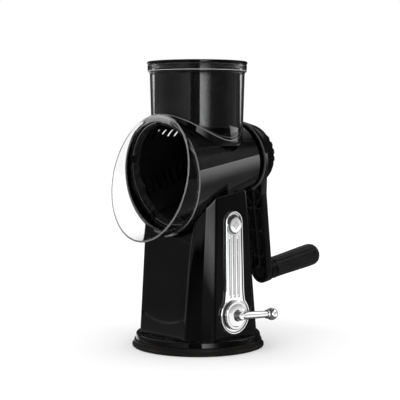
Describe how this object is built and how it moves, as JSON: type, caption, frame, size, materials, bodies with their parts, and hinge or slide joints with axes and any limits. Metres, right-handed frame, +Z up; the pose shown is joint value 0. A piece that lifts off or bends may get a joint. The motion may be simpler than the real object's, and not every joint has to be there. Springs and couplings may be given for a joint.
{
  "type": "rotary cheese grater",
  "caption": "Hand-cranked rotary cheese grater with a clear hopper, pusher, removable drum, splash guard and a lever-operated suction base.",
  "frame": {"origin": "centre of the round suction base, on the table", "axes": "+Z up; -Y is the mouth, +Y the crank; +X is the side with the suction lever. The drum axis lies in the YZ plane and dips 8.9 degrees towards the mouth"},
  "size_m": [0.1415, 0.2643, 0.295],
  "materials": {
    "gloss_black": "high gloss moulded ABS",
    "satin_black": "satin moulded plastic",
    "grip_black": "matt, fluted",
    "clear": "clear, polished",
    "chrome": "bright plated",
    "steel": "turned",
    "blade_steel": "stainless",
    "white_plastic": "natural acetal",
    "rubber_skirt": "smooth, slightly warm black",
    "rubber_membrane": "matt"
  },
  "bodies": {
    "base": {"base_housing": "gloss_black", "base_ring": "gloss_black", "suction_skirt": "rubber_skirt", "suction_frame": "satin_black", "base_screws": "steel", "side_trim": "chrome", "button_guide": "satin_black", "button_spring": "steel"},
    "suction": {"suction_membrane": "rubber_membrane", "suction_stem": "white_plastic"},
    "lever": {"suction_lever": "chrome", "cam_shaft": "steel"},
    "button": {"release_button": "chrome", "latch_slider": "satin_black"},
    "upper_unit": {"barrel_housing": "gloss_black", "barrel_foot": "satin_black", "hopper_tube": "clear", "shaft_bush": "white_plastic"},
    "guard": {"splash_guard": "clear"},
    "pusher": {"pusher_body": "satin_black", "pusher_lid": "gloss_black"},
    "crank": {"crank_arm": "gloss_black", "crank_nut": "gloss_black", "drive_shaft": "steel", "thrust_washer": "steel", "grip_pin": "steel"},
    "handle": {"grip": "grip_black", "grip_collar": "satin_black"},
    "drum": {"drum_body": "satin_black", "drum_ring": "satin_black", "drum_blades": "blade_steel"}
  },
  "joints": [
    {"name": "upper_lift", "type": "slide", "parent": "base", "child": "upper_unit", "axis": [0, 0, 1], "range_m": [0, 0.06]},
    {"name": "guard_pull", "type": "slide", "parent": "upper_unit", "child": "guard", "axis": [0, -0.988, -0.1547], "range_m": [0, 0.04]},
    {"name": "pusher_slide", "type": "slide", "parent": "upper_unit", "child": "pusher", "axis": [0, 0, 1], "range_m": [0, 0.09]},
    {"name": "crank_spin", "type": "hinge", "parent": "upper_unit", "child": "crank", "pos_m": [0, -0.0007, 0.1861], "axis": [0, 0.988, 0.1547], "continuous": true},
    {"name": "grip_spin", "type": "hinge", "parent": "crank", "child": "handle", "pos_m": [-0.00369, 0.01976, 0.05544], "axis": [0, 0.988, 0.1547], "continuous": true},
    {"name": "drum_pull", "type": "slide", "parent": "crank", "child": "drum", "axis": [0, -0.988, -0.1547], "range_m": [0, 0.09]},
    {"name": "lever_throw", "type": "hinge", "parent": "base", "child": "lever", "pos_m": [0, 0, 0.0376], "axis": [1, 0, 0], "range_deg": [0, 180]},
    {"name": "suction_lift", "type": "slide", "parent": "base", "child": "suction", "axis": [0, 0, 1], "range_m": [0, 0.004]},
    {"name": "button_press", "type": "slide", "parent": "base", "child": "button", "axis": [-1, 0, 0], "range_m": [0, 0.003], "stiffness_N_per_m": 300, "springref_m": -0.004, "deforming": ["button_spring"]}
  ],
  "couplings": [
    {"joint": "suction_lift", "follows": "lever_throw", "m_per_rad": 0.0012732}
  ]
}
